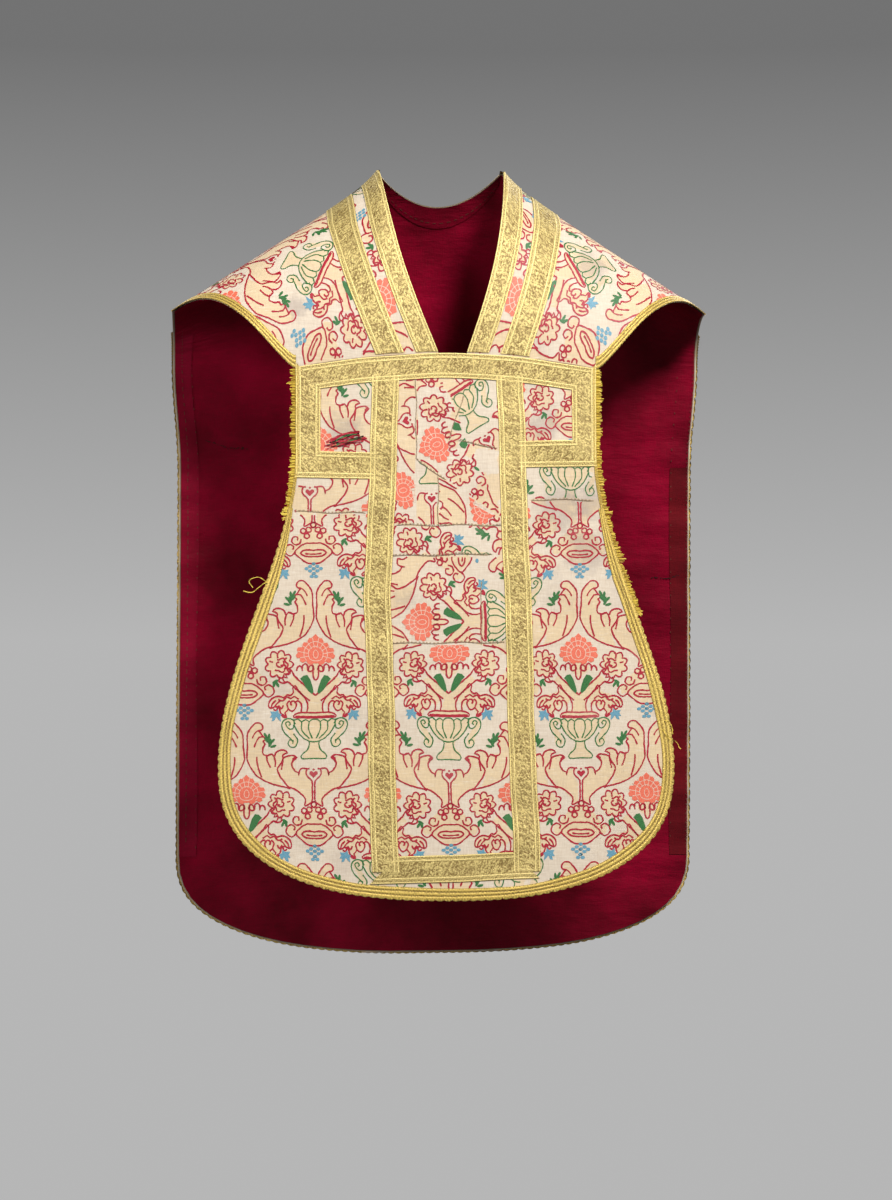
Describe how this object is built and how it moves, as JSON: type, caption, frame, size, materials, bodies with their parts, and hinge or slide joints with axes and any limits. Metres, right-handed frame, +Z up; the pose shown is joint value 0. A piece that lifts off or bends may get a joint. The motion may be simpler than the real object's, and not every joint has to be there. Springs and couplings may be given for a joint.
{
  "type": "chasuble",
  "caption": "Stiff fiddleback vestment: shoulder yoke with V neck, hanging front and back panels, layered brocade, lining and metal bands.",
  "frame": {"origin": "middle of the neck opening, level with the two neck points where the vestment rests on the shoulders", "axes": "+X towards the wearer's left, -Y towards the front, +Z up; z = 0 at the neck points"},
  "size_m": [0.7362, 0.3416, 1.0835],
  "materials": {
    "brocade": "ivory linen ground brocaded in silk with straw, crimson, green, coral and blue figures, satin sheen",
    "crimson_lining": "glazed crimson lining, soft sheen, puckered",
    "linen_interlining": "coarse natural linen, matt",
    "gold_galloon": "woven metal-thread band, dull gold with bright and dark threads",
    "edge_galloon": "narrow yellow silk and metal-thread edging, scalloped and frayed",
    "facing_tape": "brown-red silk facing tape, matt, puckered"
  },
  "bodies": {
    "yoke": {"back_left_column_top": "gold_galloon", "back_neck_edging": "edge_galloon", "back_right_column_top": "gold_galloon", "back_yoke_brocade": "brocade", "back_yoke_interlining": "linen_interlining", "back_yoke_lining": "crimson_lining", "left_inner_neck_galloon": "gold_galloon", "left_neck_brocade": "brocade", "left_outer_neck_galloon": "gold_galloon", "left_shoulder_brocade": "brocade", "left_shoulder_interlining": "linen_interlining", "left_shoulder_lining": "crimson_lining", "left_wing_edge_galloon": "edge_galloon", "neck_facing": "facing_tape", "right_inner_neck_galloon": "gold_galloon", "right_neck_brocade": "brocade", "right_outer_neck_galloon": "gold_galloon", "right_shoulder_brocade": "brocade", "right_shoulder_interlining": "linen_interlining", "right_shoulder_lining": "crimson_lining", "right_wing_edge_galloon": "edge_galloon"},
    "front": {"centre_lower_brocade": "brocade", "centre_middle_patch": "brocade", "centre_upper_patch": "brocade", "chest_galloon": "gold_galloon", "front_edge_galloon": "edge_galloon", "front_interlining": "linen_interlining", "front_lining": "crimson_lining", "hem_galloon": "gold_galloon", "left_armhole_fringe": "edge_galloon", "left_box_brocade": "brocade", "left_box_lower_galloon": "gold_galloon", "left_box_side_galloon": "gold_galloon", "left_column_galloon": "gold_galloon", "left_side_brocade": "brocade", "right_armhole_fringe": "edge_galloon", "right_box_brocade": "brocade", "right_box_lower_galloon": "gold_galloon", "right_box_side_galloon": "gold_galloon", "right_column_galloon": "gold_galloon", "right_side_brocade": "brocade"},
    "back": {"back_centre_brocade": "brocade", "back_edge_galloon": "edge_galloon", "back_hem_galloon": "gold_galloon", "back_interlining": "linen_interlining", "back_left_brocade": "brocade", "back_left_column_galloon": "gold_galloon", "back_left_facing": "facing_tape", "back_lower_lining": "crimson_lining", "back_right_brocade": "brocade", "back_right_column_galloon": "gold_galloon", "back_right_facing": "facing_tape", "back_upper_lining": "crimson_lining"}
  },
  "joints": [
    {"name": "front_swing", "type": "hinge", "parent": "yoke", "child": "front", "pos_m": [0, -0.132, -0.257], "axis": [-1, 0, 0], "range_deg": [0, 75]},
    {"name": "back_swing", "type": "hinge", "parent": "yoke", "child": "back", "pos_m": [0, 0.122, -0.262], "axis": [1, 0, 0], "range_deg": [0, 60]}
  ]
}
